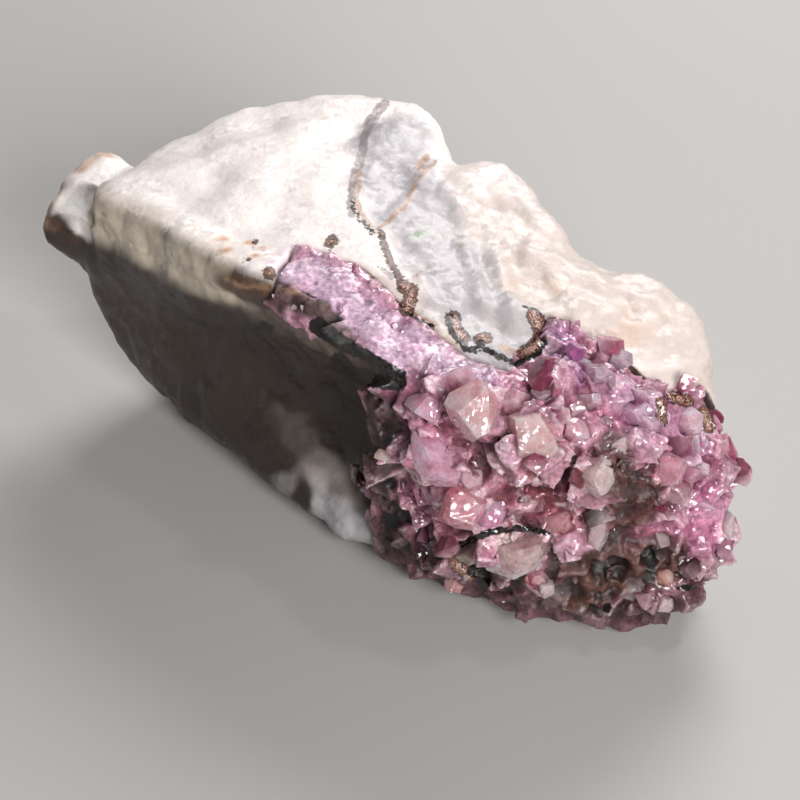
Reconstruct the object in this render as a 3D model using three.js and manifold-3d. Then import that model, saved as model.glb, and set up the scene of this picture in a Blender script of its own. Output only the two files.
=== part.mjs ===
// Cobaltoan calcite specimen: a broken block of white calcite rock, 80 mm long, whose front end and
// upper left edge carry a crust of pink crystals. Two pieces: the host rock and the crystal crust.
// Millimetres, +Z up, +X along the block towards the pink end, -Y the overhanging shadowed wall.

import * as THREE from 'three';
import { ConvexHull } from 'three/addons/math/ConvexHull.js';
import { ConvexGeometry } from 'three/addons/geometries/ConvexGeometry.js';
import { ImprovedNoise } from 'three/addons/math/ImprovedNoise.js';
import { mergeVertices } from 'three/addons/utils/BufferGeometryUtils.js';
import Module from 'manifold-3d';

const wasm = await Module();
wasm.setup();

// Driving dimensions
const KERF = 0.3; // clearance between the rock and the crust
const ROCK_EDGE = 3.3; // longest facet edge on the rock
const CRUST_EDGE = 2.9; // longest facet edge on the crust
const ROCK_RELIEF = 0.45; // height of the rock's broken surface
const CRUST_RELIEF = 0.75; // height of the crust's lumps
const CRUST_PROUD = 0.3; // how far the crust stands above the rock it grew on
const SEED = 20;

// Corners of the broken block: [x, y, z]
const UPPER_LEFT_RIM = [
  [-35.9, -3.6, 27.2], [-24.5, -5.9, 28.9], [-10.8, -8.5, 30.4], [-0.7, -8.9, 30], [7, -10.4, 28.8],
];
const UPPER_RIGHT_RIM = [
  [-37.8, 4.8, 26.2], [-33.2, 10.4, 27.9], [-28.2, 17.1, 29.8], [-22.6, 21, 31], [-16.2, 24.4, 31.6],
  [-11.4, 22.8, 31.5], [1, 21.2, 30], [14.1, 15.6, 28.7], [23.8, 17.6, 25.6], [27.2, 15.2, 24],
  [29.8, 10.2, 19.2],
];
const FRONT_BROW = [
  [12.6, -10.2, 27.3], [18.9, -7.4, 26.5], [25.1, -5, 25.3], [29.7, -1, 23.4], [32.2, 6.6, 18.2],
];
const FRONT_FOOT = [
  [6.6, -9.4, 6.8], [12.1, -10.6, 3.8], [20.4, -8.6, 2], [27.9, -4.2, 1.4], [31.1, -3.5, 0.9],
  [33.6, -1, 2], [34.8, 0.8, 6], [35.2, 2.6, 9], [34, 5.6, 14],
];
const LEFT_FOOT = [
  [-0.2, -10, 2.8], [-4.5, -10, 2.6], [-10.5, -8, 2.4], [-16.5, -5.2, 2.4], [-26.6, -4.5, 2.8],
  [-33.8, -4.2, 5.4], [-36.2, -3.6, 9], [-38.4, -4.6, 16],
];
const BACK_WALL = [
  [-36, 8, 15], [-25, 18, 13], [-11, 22, 15], [4, 20.5, 11], [18, 17, 12], [27.5, 13.5, 12],
];
const BASE = [
  [-27, -2, 0], [-29, 6, 0], [-21, 13, 0], [-8, 16.5, 0], [12, 15, 0], [25, 10, 0], [30.5, 3.5, 0],
  [29.5, -2, 0], [18, -6.6, 0], [10, -4.6, 0], [-3, -6.4, 0], [-16, -3.4, 0],
];
const BLOCK = [
  ...UPPER_LEFT_RIM, ...UPPER_RIGHT_RIM, ...FRONT_BROW, ...FRONT_FOOT, ...LEFT_FOOT, ...BACK_WALL, ...BASE,
];
const KNOB = [
  [-43.2, -4.6, 21], [-43.9, -2, 22.3], [-44.2, 0.6, 23.4], [-44.7, 3.5, 24.5], [-43.7, 5.2, 25.1],
  [-41.6, 6.6, 25.6], [-39.9, 6.6, 25.9], [-40.6, -4.3, 18.6], [-37, -3.8, 26], [-33, 0, 26.5],
  [-34, 6, 20], [-35, -2.5, 13],
];

// Soft hollows and swellings: where, how far they reach along each axis, and how far they push
const ROCK_SHAPING = [
  { at: [-3, -9, 15], reach: [13, 7, 9], push: [0, 5.6, 0] }, // hollow of the shadowed wall
  { at: [-23, -5, 14], reach: [12, 6, 8], push: [0.4, 2.8, 0] }, // its far end
  { at: [-6.2, 22, 31], reach: [3.1, 5, 5], push: [0, -3.4, -1.6] }, // notch in the far rim
  { at: [11, 18.5, 29.5], reach: [7.5, 6, 6], push: [-0.4, -4.2, -0.6] }, // long bite out of the far rim
  { at: [-37.6, 2, 27], reach: [1.7, 6, 3], push: [0, 0, -1.5] }, // neck behind the knob
  { at: [-24, 6, 31], reach: [8, 9, 6], push: [0, 0, 0.5] }, // swelling of the top
  { at: [4, 9, 31], reach: [9, 6, 6], push: [0, 0, -0.9] }, // sag of the top
  { at: [-2, -10, 3], reach: [6, 4, 4], push: [0, -0.9, 0] }, // lobe at the wall's foot
];

// The crust's bed: convex blocks that part it from the rock, as plan outlines between two heights.
// A bottom outline is given where a side leans.
const FAR = 60;
const CRUST_BED = [
  { // strip along the upper left rim
    z: [27.8, 40],
    top: [[-10.8, -1.6], [-8.6, -0.8], [-3.5, -0.5], [4.5, -4.2], [5, -14], [-7.6, -14]],
    bottom: [[-10.2, -3], [-3.5, -2], [4.5, -4.6], [5, -14], [-7.6, -14]],
  },
  { z: [24.5, 40], top: [[3.5, -4.4], [12, -4.7], [12, -FAR], [3.5, -FAR]] }, // left shoulder
  { z: [24.5, 40], top: [[11, -4.9], [16.6, -3.4], [18, -FAR], [11, -FAR]] }, // under the grey tongue
  { z: [24.5, 40], top: [[14.2, 4.6], [18, 3.9], [22, 4.6], [25, -8], [16.4, -8]] }, // brow
  { z: [21, 40], top: [[21, 4.6], [27.6, 4.3], [32, -4], [22, -8]] },
  { z: [15, 40], top: [[27, 4], [28, 5], [30.2, 9.4], [FAR, 9.4], [FAR, 0], [29, -2]] },
  // front wall, in three lengths
  { z: [-1, 27], top: [[3.5, -5.4], [15.6, -4.3], [16, -FAR], [3.5, -FAR]] },
  {
    z: [-1, 26],
    top: [[15, -4.4], [25.2, 0.6], [FAR, -FAR], [15, -FAR]],
    bottom: [[15, -4.4], [26.4, -0.4], [FAR, -FAR], [15, -FAR]],
  },
  {
    z: [-1, 24],
    top: [[25, 0.4], [28.6, 9.4], [FAR, 11], [FAR, -FAR]],
    bottom: [[26, -0.6], [30.4, 8], [FAR, 11], [FAR, -FAR]],
  },
];

// Large crystals standing on the crust: place, size (apex to centre) and the way the long axis leans
const LARGE_CRYSTALS = [
  { at: [14.9, -9.4, 27.2], size: 3.4, lean: [0.2, -0.5, 1] },
  { at: [20.6, -8.6, 25.6], size: 3.6, lean: [0.5, -1, 0.6] },
  { at: [26.1, -5.6, 21.8], size: 2.9, lean: [0.4, -1, -0.5] },
  { at: [10.6, -9.2, 27.2], size: 2.9, lean: [-0.4, -0.6, 1] },
  { at: [8.6, -10, 25], size: 2.6, lean: [-0.8, -1, 0.3] },
  { at: [11.6, -11.4, 21.6], size: 3, lean: [-0.5, -1, 0.6] },
  { at: [14.4, -11.4, 17.4], size: 2.8, lean: [0.2, -1, 0.2] },
  { at: [19.6, -3.2, 27.2], size: 2.7, lean: [0.1, -0.3, 1] },
  { at: [23.8, -1, 26.2], size: 2.6, lean: [0.3, 0.2, 1] },
  { at: [26.8, 0.6, 24.8], size: 2.4, lean: [0.8, -0.2, 0.8] },
  { at: [29.6, 4, 20.4], size: 2.6, lean: [1, -0.1, 0.7] },
  { at: [30.6, 0.2, 17], size: 2.6, lean: [1, -0.8, 0.2] },
  { at: [17.6, -9.8, 12.6], size: 3.2, lean: [0.2, -1, -0.3] },
  { at: [24.2, -6.6, 13.4], size: 2.6, lean: [0.5, -1, 0.1] },
  { at: [13, -10.4, 8.4], size: 2.8, lean: [-0.2, -1, -0.3] },
  { at: [20.6, -8.2, 6.4], size: 2.4, lean: [0.1, -1, -0.6] },
  { at: [33.6, -1, 6], size: 2.2, lean: [1, -0.6, -0.3] },
  { at: [34.2, 4, 11], size: 2.3, lean: [1, 0.1, 0] },
];
const SMALL_CRYSTALS = { count: 60, spacing: 2.3, size: [1.3, 2.4], sunk: 0.3, margin: 1.2 };

// A repeatable random number from 0 to 1
function randomFrom(seed) {
  let state = seed;
  return () => {
    state = (state * 1664525 + 1013904223) % 4294967296;
    return state / 4294967296;
  };
}

// Solids and meshes
function solidOf(geometry) {
  const bare = geometry.clone();
  bare.deleteAttribute('normal');
  bare.deleteAttribute('uv');
  const merged = mergeVertices(bare, 1e-4);
  return new wasm.Manifold(new wasm.Mesh({
    numProp: 3,
    vertProperties: new Float32Array(merged.attributes.position.array),
    triVerts: new Uint32Array(merged.index.array),
  }));
}

function largestPart(solid) {
  const parts = solid.decompose();
  return parts.reduce((a, b) => (b.volume() > a.volume() ? b : a));
}

function geometryOf(solid) {
  const { vertProperties, triVerts } = solid.getMesh();
  const geometry = new THREE.BufferGeometry();
  geometry.setAttribute('position', new THREE.BufferAttribute(new Float32Array(vertProperties), 3));
  geometry.setIndex(new THREE.BufferAttribute(new Uint32Array(triVerts), 1));
  return geometry;
}

const vectors = (points) => points.map((p) => new THREE.Vector3(...p));

// The convex block through some corners, each corner swollen to a small cube where grown is given
function hullOf(points, grown = 0) {
  const signs = grown ? [-grown, grown] : [0];
  const swollen = points.flatMap(([x, y, z]) =>
    signs.flatMap((i) => signs.flatMap((j) => signs.map((k) => [x + i, y + j, z + k]))));
  return solidOf(new ConvexGeometry(vectors(swollen)));
}

// Vertices and faces of a solid, with every edge halved until none is longer than the limit
function fineMeshOf(solid, longest) {
  const { vertProperties, triVerts } = solid.getMesh();
  const points = [];
  for (let i = 0; i < vertProperties.length; i += 3) {
    points.push(new THREE.Vector3().fromArray(vertProperties, i));
  }
  let faces = [];
  for (let i = 0; i < triVerts.length; i += 3) faces.push([...triVerts.slice(i, i + 3)]);
  const middles = new Map();
  const middleOf = (a, b) => {
    const key = a < b ? `${a}_${b}` : `${b}_${a}`;
    if (!middles.has(key)) {
      middles.set(key, points.length);
      points.push(points[a].clone().lerp(points[b], 0.5));
    }
    return middles.get(key);
  };
  for (let split = true; split;) {
    split = false;
    faces = faces.flatMap(([a, b, c]) => {
      const turns = [[a, b, c], [b, c, a], [c, a, b]];
      const lengths = turns.map(([p, q]) => points[p].distanceTo(points[q]));
      const [p, q, r] = turns[lengths.indexOf(Math.max(...lengths))];
      if (Math.max(...lengths) <= longest) return [[a, b, c]];
      split = true;
      const m = middleOf(p, q);
      return [[p, m, r], [m, q, r]];
    });
  }
  return { points, faces };
}

// Moves each point part of the way to the middle of its neighbours; the flat base stays flat
function roundEdges({ points, faces }, passes) {
  const near = points.map(() => new Set());
  for (const [a, b, c] of faces) {
    near[a].add(b).add(c);
    near[b].add(a).add(c);
    near[c].add(a).add(b);
  }
  for (let pass = 0; pass < passes; pass += 1) {
    const middles = near.map((set) => {
      const sum = new THREE.Vector3();
      set.forEach((i) => sum.add(points[i]));
      return sum.divideScalar(set.size);
    });
    points.forEach((p, i) => {
      const height = p.z;
      p.lerp(middles[i], 0.5);
      if (height < 0.01) p.z = height;
    });
  }
}

function normalsOf({ points, faces }) {
  const normals = points.map(() => new THREE.Vector3());
  const ab = new THREE.Vector3();
  const ac = new THREE.Vector3();
  for (const [a, b, c] of faces) {
    ab.subVectors(points[b], points[a]);
    ac.subVectors(points[c], points[a]);
    ab.cross(ac);
    [a, b, c].forEach((i) => normals[i].add(ab));
  }
  return normals.map((n) => n.normalize());
}

function meshSolid({ points, faces }) {
  return new wasm.Manifold(new wasm.Mesh({
    numProp: 3,
    vertProperties: new Float32Array(points.flatMap((p) => p.toArray())),
    triVerts: new Uint32Array(faces.flat()),
  }));
}

// Broken relief: a sum of noise at two scales, in the share -1 to 1
const noise = new ImprovedNoise();
function relief(p, wave) {
  const coarse = noise.noise(p.x / wave + 7.3, p.y / wave + 1.9, p.z / wave + 4.4);
  const half = wave / 2.2;
  const fine = noise.noise(p.x / half + 2.1, p.y / half + 8.7, p.z / half + 5.2);
  return coarse + 0.55 * fine;
}

// Shapes a smooth block into rock: soft hollows first, then relief along the normals
function weather(mesh, { shaping, height, wave, proud }) {
  for (const p of mesh.points) {
    const above = THREE.MathUtils.smoothstep(p.z, 0, 3);
    const moved = new THREE.Vector3();
    for (const { at, reach, push } of shaping) {
      const far = ['x', 'y', 'z'].reduce((sum, k, i) => sum + ((p[k] - at[i]) / reach[i]) ** 2, 0);
      moved.addScaledVector(new THREE.Vector3(...push), Math.exp(-far) * above);
    }
    p.add(moved);
  }
  const normals = normalsOf(mesh);
  mesh.points.forEach((p, i) => {
    const above = THREE.MathUtils.smoothstep(p.z, 0, 3);
    const swell = (proud + height * 1.6 * relief(p, wave)) * above;
    p.addScaledVector(normals[i], swell);
    p.z = Math.max(p.z, 0);
  });
  return mesh;
}

function bedBlocks(grown) {
  return CRUST_BED.map(({ z: [low, high], top, bottom = top }) =>
    hullOf([...top.map(([x, y]) => [x, y, high]), ...bottom.map(([x, y]) => [x, y, low])], grown));
}

const join = (solids) => solids.reduce((a, b) => a.add(b));

// Calcite rhombohedron: two points on its long axis and six corners round it, a third of the way in
function rhombohedron(apex, width) {
  const corners = [[0, 0, apex], [0, 0, -apex]];
  for (let k = 0; k < 6; k += 1) {
    const turn = (k * Math.PI) / 3;
    corners.push([width * Math.cos(turn), width * Math.sin(turn), (k % 2 ? -apex : apex) / 3]);
  }
  return new ConvexGeometry(vectors(corners));
}

function crystal({ at, size, lean }, random) {
  const geometry = rhombohedron(size, size * (0.85 + 0.2 * random()));
  geometry.rotateZ(random() * Math.PI);
  const up = new THREE.Vector3(...lean).normalize();
  geometry.applyQuaternion(new THREE.Quaternion().setFromUnitVectors(new THREE.Vector3(0, 0, 1), up));
  geometry.translate(...at);
  return solidOf(geometry);
}

// Whether a point lies inside one of the bed's blocks by at least the margin
function bedTester(margin) {
  const hulls = CRUST_BED.map(({ z: [low, high], top, bottom = top }) =>
    new ConvexHull().setFromPoints(vectors(
      [...top.map(([x, y]) => [x, y, high]), ...bottom.map(([x, y]) => [x, y, low])])));
  return (p) => hulls.some((hull) => hull.faces.every((face) => face.distanceToPoint(p) < -margin));
}

// Places for the small crystals: points of the crust's surface, thinned to an even spacing
function smallCrystals(mesh, random) {
  const { count, spacing, size: [small, large], sunk, margin } = SMALL_CRYSTALS;
  const inBed = bedTester(margin);
  const normals = normalsOf(mesh);
  const chosen = [];
  for (let tries = 0; tries < 6000 && chosen.length < count; tries += 1) {
    const i = Math.floor(random() * mesh.points.length);
    const at = mesh.points[i];
    const clear = chosen.every((c) => c.place.distanceTo(at) > spacing);
    if (at.z > 1.8 && clear && inBed(at)) {
      const size = small + (large - small) * random() ** 2;
      const tilt = new THREE.Vector3(random() - 0.5, random() - 0.5, random() - 0.5);
      const lean = normals[i].clone().addScaledVector(tilt, 0.9).toArray();
      const root = at.clone().addScaledVector(normals[i], -sunk * size).toArray();
      chosen.push({ place: at, at: root, size, lean });
    }
  }
  return chosen;
}

function makeRock(bed) {
  const block = hullOf(BLOCK).add(hullOf(KNOB));
  const mesh = fineMeshOf(block, ROCK_EDGE);
  roundEdges(mesh, 2);
  weather(mesh, { shaping: ROCK_SHAPING, height: ROCK_RELIEF, wave: 8, proud: 0.15 });
  return largestPart(meshSolid(mesh).subtract(bed));
}

function makeCrust(bed) {
  const random = randomFrom(SEED);
  const mesh = fineMeshOf(hullOf(BLOCK), CRUST_EDGE);
  roundEdges(mesh, 3);
  weather(mesh, { shaping: [], height: CRUST_RELIEF, wave: 5, proud: CRUST_PROUD });
  const crystals = [...LARGE_CRYSTALS, ...smallCrystals(mesh, random)].map((c) => crystal(c, random));
  const druse = join([meshSolid(mesh), ...crystals]).intersect(bed);
  const aboveFloor = hullOf([-1, 1].flatMap((i) => [-1, 1].flatMap((j) => [0, 1].map((k) =>
    [i * FAR, j * FAR, k * FAR]))));
  return largestPart(druse.intersect(aboveFloor));
}

const rock = makeRock(join(bedBlocks(KERF)));
const crust = makeCrust(join(bedBlocks(0)));

const materials = {
  rock: new THREE.MeshStandardMaterial({ color: '#ded5cb', roughness: 0.6, metalness: 0 }),
  crust: new THREE.MeshStandardMaterial({ color: '#b06f8c', roughness: 0.3, metalness: 0 }),
};

const specimen = new THREE.Group();
for (const [name, solid] of [['host_rock', rock], ['pink_crystal_crust', crust]]) {
  const mesh = new THREE.Mesh(geometryOf(solid), name === 'host_rock' ? materials.rock : materials.crust);
  mesh.name = name;
  specimen.add(mesh);
}

// The origin is the centre of the resting face of the whole specimen's box
const box = new THREE.Box3().setFromObject(specimen);
const centre = box.getCenter(new THREE.Vector3());
specimen.position.set(-centre.x, -centre.y, -box.min.z);

export default specimen;
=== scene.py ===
# %% [markdown]
# This file dresses a hand specimen of cobaltoan calcite: a broken block of white calcite rock whose
# front end and upper edge carry a crust of pink crystals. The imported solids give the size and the
# place of everything. Here each of the two solids is copied and cut into a fine skin. The rock is
# broken up with creases, ridges and flat cuts. Hundreds of crystals are grown into the crust's skin,
# and more are set on it as sharp glassy bodies of their own.

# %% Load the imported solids
import itertools
import math

import bpy
import numpy as np
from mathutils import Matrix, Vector
from mathutils.bvhtree import BVHTree


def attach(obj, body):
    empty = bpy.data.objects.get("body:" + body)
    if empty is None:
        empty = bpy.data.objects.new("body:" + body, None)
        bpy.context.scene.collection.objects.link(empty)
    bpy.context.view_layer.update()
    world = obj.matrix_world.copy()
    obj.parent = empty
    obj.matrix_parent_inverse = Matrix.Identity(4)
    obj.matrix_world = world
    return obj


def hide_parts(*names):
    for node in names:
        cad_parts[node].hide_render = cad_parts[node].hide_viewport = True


MM = 0.001
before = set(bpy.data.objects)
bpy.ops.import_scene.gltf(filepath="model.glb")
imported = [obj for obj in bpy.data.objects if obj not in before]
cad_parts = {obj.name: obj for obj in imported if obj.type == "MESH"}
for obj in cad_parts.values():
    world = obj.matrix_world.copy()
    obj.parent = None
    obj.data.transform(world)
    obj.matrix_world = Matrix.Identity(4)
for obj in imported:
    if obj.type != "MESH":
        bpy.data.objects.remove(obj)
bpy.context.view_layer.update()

# %% [markdown]
# The camera comes first, because the marks on the rock are measured in the photograph's pixels and
# are carried onto the surface along the camera's rays. It looks down 42 degrees on the long wall.

# %% Camera
PHOTO_SIDE = 800
AZIMUTH = math.radians(33.5)
ELEVATION = math.radians(42)
DISTANCE = 225.0
LENS, SENSOR = 100.0, 36.0
TARGET = np.array([3.51, -4.99, 14.0])

BACK = np.array([
    math.sin(AZIMUTH) * math.cos(ELEVATION),
    -math.cos(AZIMUTH) * math.cos(ELEVATION),
    math.sin(ELEVATION),
])
RIGHT = np.array([math.cos(AZIMUTH), math.sin(AZIMUTH), 0.0])
UP = np.cross(BACK, RIGHT)
EYE = TARGET + BACK * DISTANCE


def placed(name, data):
    """A new object in the scene."""
    thing = bpy.data.objects.new(name, data)
    bpy.context.scene.collection.objects.link(thing)
    return thing


camera_data = bpy.data.cameras.new("camera")
camera_data.lens = LENS
camera_data.sensor_width = SENSOR
camera_data.clip_start = 0.01
camera_data.clip_end = 10
camera = placed("camera", camera_data)
camera.location = Vector(EYE * MM)
camera.rotation_mode = "QUATERNION"
camera.rotation_quaternion = Vector(-BACK).to_track_quat("-Z", "Y")
bpy.context.scene.camera = camera
print("camera at", np.round(EYE, 1), "mm")

# %% [markdown]
# A pixel of the photograph becomes a point on the specimen: a ray leaves the camera through the
# pixel and stops at the first solid. So every vein, stain and large crystal below is written as the
# place where the eye sees it, and still sits on the surface that carries it.

# %% From a pixel to a point on the solids


def solid_arrays(names):
    """Vertices in mm and triangles of some CAD nodes, one after the other."""
    points, faces, offset = [], [], 0
    for name in names:
        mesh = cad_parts[name].data
        mesh.calc_loop_triangles()
        co = np.empty(len(mesh.vertices) * 3, np.float32)
        mesh.vertices.foreach_get("co", co)
        corners = np.empty(len(mesh.loop_triangles) * 3, np.int32)
        mesh.loop_triangles.foreach_get("vertices", corners)
        points.append(co.reshape(-1, 3) / MM)
        faces.append(corners.reshape(-1, 3) + offset)
        offset += len(mesh.vertices)
    return np.concatenate(points), np.concatenate(faces)


def merged(points, faces):
    """Joins vertices that share a place, as a CAD node's triangles are loose, and drops thin ones."""
    key, back = np.unique(np.round(points, 4), axis=0, return_inverse=True)
    faces = back.reshape(-1)[faces]
    return key, faces[(faces != np.roll(faces, 1, axis=1)).all(1)]


def tree_of(names):
    """A search tree over the faces of some CAD nodes."""
    points, faces = merged(*solid_arrays(names))
    return BVHTree.FromPolygons(points.tolist(), faces.tolist())


SOLIDS = tree_of(["host_rock", "pink_crystal_crust"])
HOST = tree_of(["host_rock"])


def seen(*pixels, on=SOLIDS):
    """The points in mm where rays through the photograph's pixels meet the solids, or another skin."""
    found = []
    for u, v in pixels:
        across = (u - PHOTO_SIDE / 2) / PHOTO_SIDE * SENSOR / LENS
        upward = (PHOTO_SIDE / 2 - v) / PHOTO_SIDE * SENSOR / LENS
        ray = Vector(RIGHT * across + UP * upward - BACK)
        hit = on.ray_cast(Vector(EYE), ray)[0]
        if hit is not None:
            found.append(hit)
    return np.array(found).reshape(-1, 3)


print("the middle of the picture is", np.round(seen((400, 400))[0], 1), "mm")

# %% [markdown]
# Broken calcite has three looks at once. Its soft unevenness is value noise: random heights on a
# lattice, blended smoothly. Its mosaic of grains is facets: space is split into cells round
# scattered centres, and each cell holds one plane tilted its own way. Its breaks are creased noise:
# heights on a lattice joined by flat triangles, which meet in crisp ridges. A break that can be read
# off the photograph is a flat cut: what stands above a plane is pressed down onto it.

# %% Noise, facets and flat cuts


def cell_random(cells, seed):
    """Three even random numbers for each whole-numbered cell: the three indices are multiplied by
    large primes, mixed bit by bit, and stirred once more for each number."""
    c = cells.astype(np.int64)
    n = (c[..., 0] * 73856093) ^ (c[..., 1] * 19349663) ^ (c[..., 2] * 83492791) ^ (seed * 2654435761)
    out = []
    for _ in range(3):
        n = n & 0x7FFFFFFF
        n = (n ^ (n >> 13)) * 1274126177
        n = n ^ (n >> 17)
        out.append((n & 0xFFFFFF) / 0x1000000)
    return np.stack(out, -1)


def soft_noise(p, wave, seed):
    """Value noise from -1 to 1: the eight lattice corners round a point, each weighted by a smooth
    step of how near it is along every axis."""
    q = p / wave
    base = np.floor(q)
    f = q - base
    f = f * f * (3 - 2 * f)
    total = np.zeros(len(p))
    for corner in np.ndindex(2, 2, 2):
        weight = np.prod(np.where(corner, f, 1 - f), axis=1)
        total += weight * cell_random(base + corner, seed)[:, 0]
    return 2 * total - 1


def layered(p, wave, seed, layers=3):
    """Noise summed over finer and finer waves, each half as long and half as high."""
    return sum(soft_noise(p, wave / 2**k, seed + k) / 2**k for k in range(layers))


# %% Creases and facets


def creased(p, wave, seed):
    """Noise from -1 to 1 made of flat triangles: each lattice cube is split into six tetrahedra by
    the order of the point's shares along x, y and z, and the four corners' heights are blended
    linearly. The lattice is turned first, so that no crease follows the block's own sides."""
    turn = np.array([[0.36, 0.48, -0.8], [-0.8, 0.6, 0.0], [0.48, 0.64, 0.6]])
    q = p @ turn / wave
    base = np.floor(q)
    order = np.argsort(base - q, axis=1)
    share = np.take_along_axis(q - base, order, 1)
    share = np.concatenate([np.ones((len(p), 1)), share, np.zeros((len(p), 1))], 1)
    corner = base.copy()
    total = np.zeros(len(p))
    for k in range(4):
        total += cell_random(corner, seed)[:, 0] * (share[:, k] - share[:, k + 1])
        if k < 3:
            corner[np.arange(len(p)), order[:, k]] += 1
    return 2 * total - 1


def facets(p, pitch, seed):
    """Height of the tilted plane of the cell that a point is in, about -1 to 1, and one random
    number for that cell: a cell's plane is its tilt dotted with the way from its centre, plus a
    step of its own."""
    q = p / pitch
    base = np.floor(q)
    nearest = np.full(len(p), np.inf)
    owner = np.zeros_like(q)
    offset = np.zeros_like(q)
    for step in np.ndindex(3, 3, 3):
        cell = base + step - 1
        away = q - cell - cell_random(cell, seed)
        distance = (away * away).sum(1)
        closer = distance < nearest
        nearest = np.where(closer, distance, nearest)
        owner[closer] = cell[closer]
        offset[closer] = away[closer]
    own = cell_random(owner, seed + 1)
    height = ((own * 2 - 1) * offset).sum(1) + (own[:, 0] - 0.5)
    return height, own[:, 1]


# %% Smooth steps and flat cuts


def ramp(x, low, high):
    """0 below low, 1 above high, and a smooth step between."""
    t = np.clip((x - low) / (high - low), 0, 1)
    return t * t * (3 - 2 * t)


def off_ground(p):
    """0 on the resting face and 1 from 2.5 mm up, so that the specimen keeps its flat foot."""
    return ramp(p[:, 2], 0.2, 2.5)


def cut_flat(p, centre, normal, depth, reach):
    """Presses what stands above a plane down onto it, in place. The plane lies depth mm below the
    centre, the cut fades out at reach mm from it, and it leaves the resting face alone."""
    near = np.flatnonzero(np.abs(p - centre).max(1) < reach)
    q = p[near]
    normal = normal / np.linalg.norm(normal)
    above = np.maximum((q - centre) @ normal + depth, 0)
    fade = 1 - ramp(np.linalg.norm(q - centre, axis=1), 0.7 * reach, reach)
    p[near] = q - normal * (above * fade * off_ground(q))[:, None]


print("creases at three places:", np.round(creased(np.eye(3), 2.0, 1), 2))

# %% [markdown]
# Colour follows two rules. A base colour comes from where a point is, and marks are laid over it: a
# mark is a line or a spot with a width in mm, and its edge is frayed with noise so that it looks
# grown and not drawn. Soft marks end in one colour attribute. A crisp mark, such as a vein, is
# stored as a distance instead, so that the material can draw its edge finer than the mesh is.

# %% Colours and marks


def linear(code):
    """An sRGB hex colour as linear red, green and blue."""
    srgb = np.array([int(code[i : i + 2], 16) for i in (1, 3, 5)]) / 255
    return np.where(srgb <= 0.04045, srgb / 12.92, ((srgb + 0.055) / 1.055) ** 2.4)


def distance_to_line(p, line):
    """Shortest way from each point to a chain of segments: the point's share along each segment is
    clamped to its ends. One point alone is a spot."""
    if len(line) == 0:
        return np.full(len(p), np.inf)
    if len(line) == 1:
        return np.linalg.norm(p - line[0], axis=1)
    best = np.full(len(p), np.inf)
    for a, b in zip(line[:-1], line[1:]):
        along = b - a
        share = np.clip((p - a) @ along / max(along @ along, 1e-9), 0, 1)
        best = np.minimum(best, np.linalg.norm(p - a - share[:, None] * along, axis=1))
    return best


def lay(tint, colour, weight):
    """Blends a colour over the tint by a weight from 0 to 1."""
    return tint + (linear(colour) - tint) * np.clip(weight, 0, 1)[:, None]


# %% Marks as the picture shows them
FAR, SAME_SKIN = 5.0, 3.0  # mm


def in_picture(p):
    """Where each point lies in the picture, in mm across and up at the target's distance."""
    away = p - EYE
    return np.stack([away @ RIGHT, away @ UP], 1) * (DISTANCE / -(away @ BACK))[:, None]


def nearness(p, marks, on=SOLIDS):
    """How far each point is outside the nearest of some marks, in mm as the picture shows it: its
    distance to the mark's line less the mark's half width, so it is below 0 inside a mark. A point
    more than 3 mm in front of or behind the marked skin doesn't count."""
    best = np.full(len(p), FAR)
    flat = in_picture(p)
    for pixels, half_width in marks:
        line = seen(*pixels, on=on)
        same_skin = distance_to_line(p, line) < SAME_SKIN + half_width
        outside = distance_to_line(flat, in_picture(line)) - half_width
        best = np.where(same_skin, np.minimum(best, outside), best)
    return best


def mark(tint, p, pixels, width, colour, strength, soft=0.5, fray=0.5, seed=3):
    """A soft stain along the pixels: full inside its half width in mm, fading over the share soft of
    it, and its edge moved by noise by up to the share fray of it."""
    reach = distance_to_line(p, seen(*pixels)) + fray * width * soft_noise(p, max(width * 0.7, 0.5), seed)
    return lay(tint, colour, strength * (1 - ramp(reach, width * (1 - soft), width)))


# %% [markdown]
# Both skins are made the same way. The CAD mesh is loose triangles, so a merged copy is taken, and
# Blender's voxel remesh turns it into small even squares that can be pushed about point by point.

# %% Fine skins from the solids


def fine_skin(name, points, faces, voxel, smoothing):
    """A mesh of even squares over closed shapes, which join where they overlap, a little smoothed."""
    mesh = bpy.data.meshes.new(name + "_coarse")
    mesh.from_pydata((points * MM).tolist(), [], [list(face) for face in faces])
    coarse = placed(name + "_coarse", mesh)
    remesh = coarse.modifiers.new("even squares", "REMESH")
    remesh.mode = "VOXEL"
    remesh.voxel_size = voxel * MM
    smooth = coarse.modifiers.new("soften", "SMOOTH")
    smooth.iterations = smoothing
    smooth.factor = 0.5
    evaluated = coarse.evaluated_get(bpy.context.evaluated_depsgraph_get())
    skin = bpy.data.meshes.new_from_object(evaluated)
    skin.name = name
    bpy.data.objects.remove(coarse)
    return skin


def places(mesh):
    """Vertex places in mm and vertex normals."""
    co = np.empty(len(mesh.vertices) * 3, np.float32)
    mesh.vertices.foreach_get("co", co)
    normal = np.empty(len(mesh.vertices) * 3, np.float32)
    mesh.vertex_normals.foreach_get("vector", normal)
    return co.reshape(-1, 3).astype(float) / MM, normal.reshape(-1, 3).astype(float)


def put_places(mesh, p):
    """Writes places in mm back into a mesh, with nothing below the resting face."""
    p[:, 2] = np.maximum(p[:, 2], 0)
    mesh.vertices.foreach_set("co", (p * MM).astype(np.float32).ravel())
    mesh.update()


# %% What is measured on a skin


def skin_tree(mesh):
    """A search tree over the squares of a skin."""
    corners = np.empty(len(mesh.loops), np.int32)
    mesh.loops.foreach_get("vertex_index", corners)
    return BVHTree.FromPolygons(places(mesh)[0].tolist(), corners.reshape(-1, 4).tolist())


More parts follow.
